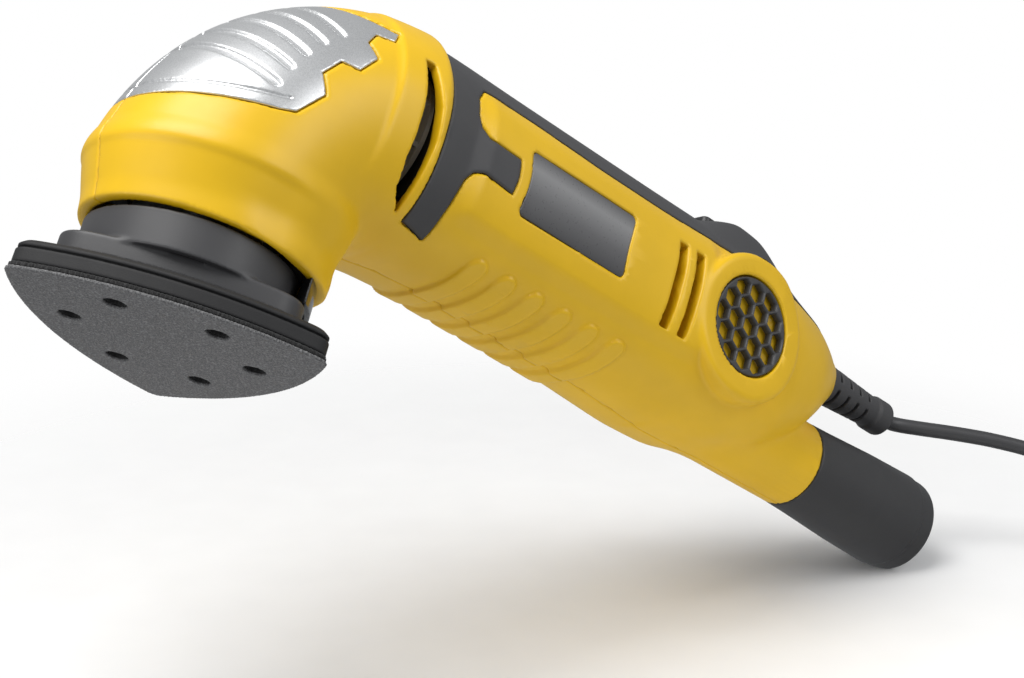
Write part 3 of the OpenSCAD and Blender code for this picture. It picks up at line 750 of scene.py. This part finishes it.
# ---------------------------------------------------------------- pad stack
# The sheet's sides are arcs: the chord, and how far each arc stands out from it
SHEET_SIDE = 93.0
BULGE = 10.9
ARC_R = ((SHEET_SIDE / 2) ** 2 + BULGE ** 2) / (2 * BULGE)
TIP_R = 53.7
ARC_OFF = ARC_R - BULGE - TIP_R / 2
HOLE_RING = 27.5
HOLES = [tip + side * 27.7 for tip in (60, 180, 300) for side in (-1, 1)]


def delta(x, y, blunt, inset):
    """Distance to the pad's three-sided outline, drawn in by inset, with tips rounded by blunt."""
    best = None
    for turn in (0, 120, 240):
        c, s = math.cos(math.radians(turn)), math.sin(math.radians(turn))
        u, v = x * c + y * s, -x * s + y * c
        d = np.hypot(u + ARC_OFF, v) - (ARC_R - inset)
        best = d if best is None else smax(best, d, blunt)
    return best


def dust_holes(x, y, radius=3.75):
    """Distance to the nearest of the six dust holes."""
    best = None
    for a in HOLES:
        cx, cy = HOLE_RING * math.cos(math.radians(a)), HOLE_RING * math.sin(math.radians(a))
        d = np.hypot(x - cx, y - cy) - radius
        best = d if best is None else np.minimum(best, d)
    return best


def fringe(x, y, depth, freq, seed):
    """Small waves along an edge, as cut cloth has."""
    angle = np.arctan2(y, x)
    wave = np.sin(angle * freq + seed) + 0.6 * np.sin(angle * freq * 1.73 + 2 * seed)
    return depth * wave / 1.6


def cushion(x, y, z):
    low = smax(delta(x, y, 4, 0.9), slab(z, 2.6, 7.3), 0.7)
    top = delta(x, y, 4, 1.2) + np.maximum(z - 8.6, 0)
    top = smax(top, slab(z, 7.2, 10.0), 0.5)
    groove = smax(slab(z, 7.0, 7.7), -delta(x, y, 4, 2.0), 0.2)
    d = np.minimum(low, top)
    d = smax(d, -groove, 0.3)
    return smax(d, -dust_holes(x, y), 0.3)


def hook(x, y, z):
    edge = delta(x, y, 3, 0.75) + fringe(x, y, 0.22, 190, 1.0)
    d = smax(edge, slab(z, 1.05, 2.55), 0.5)
    return smax(d, -(dust_holes(x, y, 3.6) + fringe(x - 8, y, 0.12, 90, 3)), 0.2)


def sheet(x, y, z):
    edge = delta(x, y, 3, 0.28) + fringe(x, y, 0.16, 240, 2.0)
    d = smax(edge, slab(z, 0.02, 0.98), 0.15)
    return smax(d, -(dust_holes(x, y, 3.6) + fringe(x - 8, y, 0.14, 110, 5)), 0.15)


def carrier(x, y, z):
    """Tier on the cushion, the round collar above it, and the hub and fins inside."""
    notch = 1.1 * step_up(z, 10.2, 11.0) * (1 - step_up(z, 11.2, 11.8))
    tier = smax(delta(x, y, 10, 8.6) + notch, slab(z, 10.0, 18.0), 1.2)
    r = np.hypot(x, y)
    tier = smax(tier, -smax(r - 26.5, 12 - z, 0.5), 0.5)
    wall = smax(np.abs(r - 31.3) - 1.3, slab(z, 17.0, COLLAR_TOP), 0.5)
    ring = smax(np.abs(r - 31.9) - 0.7, slab(z, 25.8, COLLAR_TOP), 0.3)
    hub = smax(np.abs(r - 12.5) - 1.5, slab(z, 10, 28), 0.4)
    floor = smax(r - 14, slab(z, 10, 12), 0.3)
    floor = smax(floor, 7 - r, 0.3)
    d = np.minimum(smin(tier, np.minimum(wall, ring), 1.0), np.minimum(hub, floor))
    angle = np.degrees(np.arctan2(y, x))
    near = (angle + 30) % 60 - 30
    fin = np.maximum(np.abs(r * np.sin(np.radians(near))) - 1.0, np.abs(r - 20.5) - 7.5)
    fin = smax(fin, slab(z, 11, 23), 0.3)
    d = np.minimum(d, fin)
    return smax(d, -dust_holes(x, y), 0.3)


solid("cushion_body", cushion, (-56, -56, 2), (56, 56, 10.5), FINE, FOAM, "pad", "pad_cushion",
      slot_name="pad_foam")
solid("hook_pile", hook, (-56, -56, 0.6), (56, 56, 3), FINE * 0.75, HOOK, "pad", "hook_layer",
      slot_name="hook_fabric")
solid("sheet_grit", sheet, (-56, -56, -0.3), (56, 56, 1.3), FINE * 0.75, GRIT, "pad",
      "sanding_sheet", slot_name="abrasive")
solid("carrier_body", carrier, (-50, -50, 9.5), (50, 50, 29), FINE * 1.2, CARRIER, "pad",
      "pad_carrier", slot_name="carrier_plastic")


# ---------------------------------------------------------------- outlet, guard, switch
# Outside radius of the adapter along its length
FLARE_X = [230, 263, 275, 300, 322, 340]
FLARE_R = [16.8, 16.8, 17.3, 18.7, 19.35, 19.5]


def adapter(x, y, z):
    """Flared hose adapter: spigot inside the outlet, cone, rounded collar, and the bore."""
    r = np.hypot(y, z - TUBE_Z)
    body = smax(r - np.interp(x, FLARE_X, FLARE_R), slab(x, OUTLET_END + 0.5, 322.5), 0.6)
    ring = smax(r - 18.85, slab(x, 318, 330.9), 2.6)
    spigot = smax(r - 14.2, slab(x, 236.2, 276), 0.5)
    d = smin(np.minimum(body, spigot), ring, 0.4)
    d = smax(d, -smax(r - 12, x - 290, 0.4), 0.3)
    return smax(d, -smax(r - 16.0, 286 - x, 0.4), 0.5)


def guard(x, y, z):
    """Tapered strain relief with four slots and an end ring."""
    r = np.hypot(y, z - GUARD_Z)
    taper = np.interp(x, [244, 267, 267.5, 302], [7.6, 7.6, 8.2, 6.1])
    d = smax(r - taper, slab(x, 244, 304), 0.8)
    d = smin(d, smax(r - 7.0, slab(x, 302, 310), 1.2), 0.8)
    for place in (276.3, 282.8, 289.0, 295.0):
        cut = smax(slab(x, place - 0.8, place + 0.8), 4.8 - r, 0.4)
        cut = smax(cut, 1.6 - np.abs(z - GUARD_Z + 1.0), 0.3)
        d = smax(d, -cut, 0.4)
    return smax(d, 3.05 - r, 0.3)


solid("adapter_tube", adapter, (234, -20, 47), (332, 20, 89), FINE * 1.3, ADAPTER, "adapter",
      "dust_adapter", slot_name="adapter_plastic")
solid("guard_sleeve", guard, (243, -9.5, 95), (311, 9.5, 115), FINE * 0.8, RUBBER, "housing",
      "cord_guard", slot_name="grip_rubber")


def elbow(x, y, z):
    """Glossy dust chute: a foot that curves behind the collar, and a duct let into the rear wall."""
    reach = np.hypot(x - SPINDLE_X, y)
    foot = smax(reach - 39.2, 35.0 - reach, 0.8)
    foot = smax(foot, x - 36.6, 1.0)
    foot = smax(foot, 26 - x - 0.1 * np.abs(y), 0.6)
    foot = smax(foot, slab(z, 19, 33), 1.0)
    lean = np.interp(z, [13, 36, 46, 56, 70], [36.4, 36.4, 38.4, 45.0, 45.0])
    duct = np.maximum(x - lean, np.interp(z, [13, 50, 69], [34.8, 34.8, 38.2]) - x)
    duct = smax(duct, np.abs(y) - 11.8, 0.5)
    duct = smax(duct, slab(z, 13.5, 69), 0.5)
    return smin(foot, duct, 0.5)


solid("dust_chute", elbow, (24, -32, 12), (46.5, 32, 70), FINE * 1.3, CHUTE, "housing", "dust_elbow",
      slot_name="black_plastic")


def switch_frame(x, y, z):
    d = smax(round_box(x, y, SWITCH_X, 0, 15, 8, 2.2), slab(z, 131.4, 134.4), 0.9)
    return smax(d, -round_box(x, y, SWITCH_X, 0, 12.3, 5.5, 1.0), 0.4)


def rocker(x, y, z):
    """Dished rocker on its barrel, drawn at rest, tilted by 6 degrees."""
    tilt, axle_z = math.radians(6), 130.2
    u = (x - SWITCH_X) * math.cos(tilt) - (z - 132.8) * math.sin(tilt)
    v = (x - SWITCH_X) * math.sin(tilt) + (z - 132.8) * math.cos(tilt)
    d = smax(round_box(u, v, 0, 0, 11.3, 2.0, 0.7), np.abs(y) - 5.1, 0.6)
    dish = np.hypot(u, v - 33.4) - 32
    d = smax(d, -smax(dish, np.abs(u) - 9.5, 0.4), 0.5)
    axle = np.hypot(x - SWITCH_X, z - axle_z)
    barrel = smax(axle - 2.6, np.abs(y) - 5.1, 0.3)
    d = smin(d, barrel, 0.4)
    return smax(d, 1.05 - axle, 0.1)


solid("switch_bezel", switch_frame, (186, -9, 130), (220, 9, 136), FINE * 0.8, BLACK, "housing",
      "switch_frame", slot_name="black_plastic")
solid("rocker_cap", rocker, (190, -6, 126), (216, 6, 138), FINE * 0.6, ROCKER, "rocker",
      "switch_rocker", slot_name="rocker_plastic")


# ---------------------------------------------------------------- cord and plug, in metres
EXIT = (0.310, 0, 0.105)
ROUTE = [
    EXIT, (0.317, -0.002, 0.1055), (0.325, -0.008, 0.1065), (0.336, -0.017, 0.108),
    (0.348, -0.027, 0.109), (0.361, -0.038, 0.1085), (0.374, -0.048, 0.105), (0.386, -0.057, 0.097),
    (0.396, -0.064, 0.085), (0.405, -0.070, 0.069), (0.413, -0.075, 0.051), (0.421, -0.079, 0.033),
    (0.431, -0.081, 0.018), (0.442, -0.079, 0.008), (0.452, -0.071, 0.004), (0.459, -0.058, 0.003),
    (0.463, -0.040, 0.003), (0.463, -0.020, 0.003),
]
COIL = (0.421, -0.020)
PLUG_TAIL = (0.379, -0.036, 0.010)
LEAD_R = 0.0029
OUTER_TURN, FLOOR_TURN_Z = 0.042, 0.003
# Turn at which the lead starts to move over, turn at which it has, and its radius and height then
WINDING = [
    (0.72, 1.00, 0.036, 0.003), (1.72, 2.00, 0.030, 0.003), (2.72, 3.00, 0.024, 0.003),
    (3.36, 3.64, 0.024, 0.009), (4.08, 4.36, 0.030, 0.009), (5.08, 5.36, 0.036, 0.009),
    (6.08, 6.36, 0.042, 0.009), (6.72, 7.00, 0.042, 0.015),
]
TURNS = 7.5


def coil_points():
    """The wound lead: inwards on the lowest layer, outwards on the next, then half a turn on top."""
    points, per_turn = [], 36
    for k in range(int(TURNS * per_turn) + 1):
        turn = k / per_turn
        r, z = OUTER_TURN, FLOOR_TURN_Z
        for start, stop, to_r, to_z in WINDING:
            blend = min(1.0, max(0.0, (turn - start) / (stop - start)))
            blend = blend * blend * (3 - 2 * blend)
            r, z = r + (to_r - r) * blend, z + (to_z - z) * blend
        a = 2 * math.pi * turn
        points.append((COIL[0] + r * math.cos(a), COIL[1] + r * math.sin(a), z))
    return points


def smooth_path(points, spacing=0.003):
    """Catmull-Rom curve through the points, cut at an even spacing."""
    pts = np.array(points)
    first, last = 2 * pts[0] - pts[1], 2 * pts[-1] - pts[-2]
    pts = np.vstack([first, pts, last])
    fine = []
    for i in range(1, len(pts) - 2):
        p0, p1, p2, p3 = pts[i - 1:i + 3]
        for t in np.linspace(0, 1, 12, endpoint=False):
            fine.append(0.5 * ((2 * p1) + (p2 - p0) * t + (2 * p0 - 5 * p1 + 4 * p2 - p3) * t * t
                               + (3 * p1 - p0 - 3 * p2 + p3) * t ** 3))
    fine.append(pts[-2])
    fine = np.array(fine)
    walk = np.concatenate([[0], np.cumsum(np.linalg.norm(np.diff(fine, axis=0), axis=1))])
    count = max(2, int(walk[-1] / spacing))
    at = np.linspace(0, walk[-1], count + 1)
    return np.stack([np.interp(at, walk, fine[:, i]) for i in range(3)], 1), walk[-1]


def sweep_tube(name, path, radius, sides, finish):
    """Closed round tube along a path, without twist."""
    tangents = np.gradient(path, axis=0)
    tangents /= np.linalg.norm(tangents, axis=1, keepdims=True)
    normal = np.cross(tangents[0], (0, 0, 1.0))
    normal /= np.linalg.norm(normal)
    verts, faces = [], []
    for i, (p, t) in enumerate(zip(path, tangents)):
        normal = normal - t * normal.dot(t)
        normal /= np.linalg.norm(normal)
        other = np.cross(t, normal)
        for k in range(sides):
            a = 2 * math.pi * k / sides
            verts.append(p + radius * (math.cos(a) * normal + math.sin(a) * other))
        if i:
            for k in range(sides):
                n = (k + 1) % sides
                a, b = (i - 1) * sides, i * sides
                faces.append((a + k, a + n, b + n, b + k))
    faces.append(tuple(range(sides - 1, -1, -1)))
    faces.append(tuple((len(path) - 1) * sides + k for k in range(sides)))
    return add_object(name, verts, faces, finish, "housing")


whole_route = list(ROUTE) + coil_points()[1:] + [(0.379, -0.026, 0.0138), PLUG_TAIL]
path, lead_length = smooth_path(whole_route)
lead = sweep_tube("lead", path, LEAD_R, 14, LEAD)


def plug(x, y, z):
    """Moulded plug body with a ribbed tail, lying on its side."""
    u, v, w = x - 379, -36 - y, z - 10
    tail = np.hypot(u, w) - np.interp(v, [0, 10, 10.5, 24], [3.8, 3.9, 4.8, 7.6])
    tail = smax(tail, slab(v, 0, 25), 0.6)
    for place in (4.0, 8.0, 12.5, 17.0):
        d = smax(slab(v, place - 0.8, place + 0.8), 3.3 - np.hypot(u, w), 0.3)
        tail = smax(tail, -smax(d, 1.2 - np.abs(u), 0.3), 0.3)
    grow = 1 - step_up(v, 24, 34)
    body = round_box(u, w, 0, 0, 18.5 - 5 * grow, 10 - 1.5 * grow, 8.4) + 0.8 * hump(v, 34, 44, 3)
    body = smax(body, slab(v, 24, 57.9), 1.6)
    d = smin(tail, body, 1.2)
    pitch, along = 2.4, v - 39
    ribs = np.abs(along / pitch - np.round(along / pitch)) * pitch - 0.7
    ribs = smax(ribs, np.abs(along) - 6, 0.3)
    ribs = smax(ribs, -(d + 0.6), 0.2)
    return smax(d, -ribs, 0.3)


plug_shell = solid("plug_shell", plug, (359, -95, -0.5), (399, -35, 20.5), FINE * 1.1, LEAD, "housing",
                   "plug_body", slot_name="lead_pvc")
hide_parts("power_cord", "cord_coil")


# ---------------------------------------------------------------- stage and light
# A point of the floor and its upward direction, tilted as the photographed tool rests
FLOOR_AT = Vector((0.3295, 0.0, 0.0500))
FLOOR_UP = Vector((-0.538, -0.304, 0.786)).normalized()


def floor_material():
    """Pale matt card that fades out towards its edge, so that only the tool's soft shadow shows."""
    m, nt, shader = material("stage_card")
    card = noise(nt, 40, 2, 0.4)
    nt.links.new(ramp(nt, card, [(0.3, (0.93, 0.93, 0.93)), (0.7, (0.95, 0.95, 0.95))]),
                 shader.inputs["Base Color"])
    shader.inputs["Roughness"].default_value = 0.9
    shader.inputs["Specular IOR Level"].default_value = 0.1
    coord = nt.nodes.new("ShaderNodeTexCoord")
    length = nt.nodes.new("ShaderNodeVectorMath")
    length.operation = "LENGTH"
    nt.links.new(coord.outputs["Object"], length.inputs[0])
    fade = nt.nodes.new("ShaderNodeMapRange")
    fade.interpolation_type = "SMOOTHSTEP"
    fade.inputs["From Min"].default_value = 0.12
    fade.inputs["From Max"].default_value = 0.38
    fade.inputs["To Min"].default_value = 1.0
    fade.inputs["To Max"].default_value = 0.0
    nt.links.new(length.outputs["Value"], fade.inputs["Value"])
    nt.links.new(fade.outputs["Result"], shader.inputs["Alpha"])
    return m


def add_floor():
    mesh = bpy.data.meshes.new("stage_floor")
    half = 0.5
    corners = [(-half, -half, 0), (half, -half, 0), (half, half, 0), (-half, half, 0)]
    mesh.from_pydata(corners, [], [(0, 1, 2, 3)])
    mesh.materials.append(floor_material())
    obj = bpy.data.objects.new("stage_floor", mesh)
    bpy.context.scene.collection.objects.link(obj)
    turn = FLOOR_UP.to_track_quat("Z", "Y").to_matrix().to_4x4()
    left = -Vector(CAMERA_RIGHT)
    left = (left - FLOOR_UP * left.dot(FLOOR_UP)).normalized()
    obj.matrix_world = Matrix.Translation(FLOOR_AT + left * 0.14) @ turn
    obj.visible_shadow = False
    obj.visible_glossy = False


LIT_POINT = Vector((0.14, 0, 0.075))


def add_light(name, toward, distance, size, watts, warm=0.0):
    """Soft panel aimed at the tool's middle; toward is right, up and back as the camera sees it."""
    right, up, back = Vector(CAMERA_RIGHT), -Vector(CAMERA_DOWN), -Vector(CAMERA_AHEAD)
    way = (right * toward[0] + up * toward[1] + back * toward[2]).normalized()
    data = bpy.data.lights.new(name, "AREA")
    data.shape = "RECTANGLE"
    data.size, data.size_y = size
    data.energy = watts
    data.color = (1.0, 1.0 - 0.04 * warm, 1.0 - 0.1 * warm)
    obj = bpy.data.objects.new(name, data)
    bpy.context.scene.collection.objects.link(obj)
    place = LIT_POINT + way * distance
    obj.matrix_world = Matrix.Translation(place) @ way.to_track_quat("Z", "Y").to_matrix().to_4x4()


def add_world():
    """White where the camera looks past the tool, and a soft grey dome for everything else."""
    world = bpy.data.worlds.new("studio")
    world.use_nodes = True
    nt = world.node_tree
    nt.nodes.clear()
    out = nt.nodes.new("ShaderNodeOutputWorld")
    seen = nt.nodes.new("ShaderNodeBackground")
    seen.inputs["Color"].default_value = (1, 1, 1, 1)
    seen.inputs["Strength"].default_value = 1.0
    lit = nt.nodes.new("ShaderNodeBackground")
    lit.inputs["Color"].default_value = (0.96, 0.98, 1.0, 1)
    lit.inputs["Strength"].default_value = 0.34
    path_kind = nt.nodes.new("ShaderNodeLightPath")
    mix = nt.nodes.new("ShaderNodeMixShader")
    nt.links.new(path_kind.outputs["Is Camera Ray"], mix.inputs["Fac"])
    nt.links.new(lit.outputs["Background"], mix.inputs[1])
    nt.links.new(seen.outputs["Background"], mix.inputs[2])
    nt.links.new(mix.outputs["Shader"], out.inputs["Surface"])
    bpy.context.scene.world = world


add_floor()
add_world()
add_light("key", (-0.35, 1.0, 0.55), 0.75, (0.55, 0.45), 5.4, 0.2)
add_light("fill", (-1.0, -0.1, 0.9), 0.9, (0.7, 0.7), 2.4)
add_light("right", (1.0, 0.55, 0.5), 0.9, (0.35, 0.7), 2.6)
add_light("under", (0.1, -1.0, 0.7), 0.9, (0.8, 0.5), 0.8)
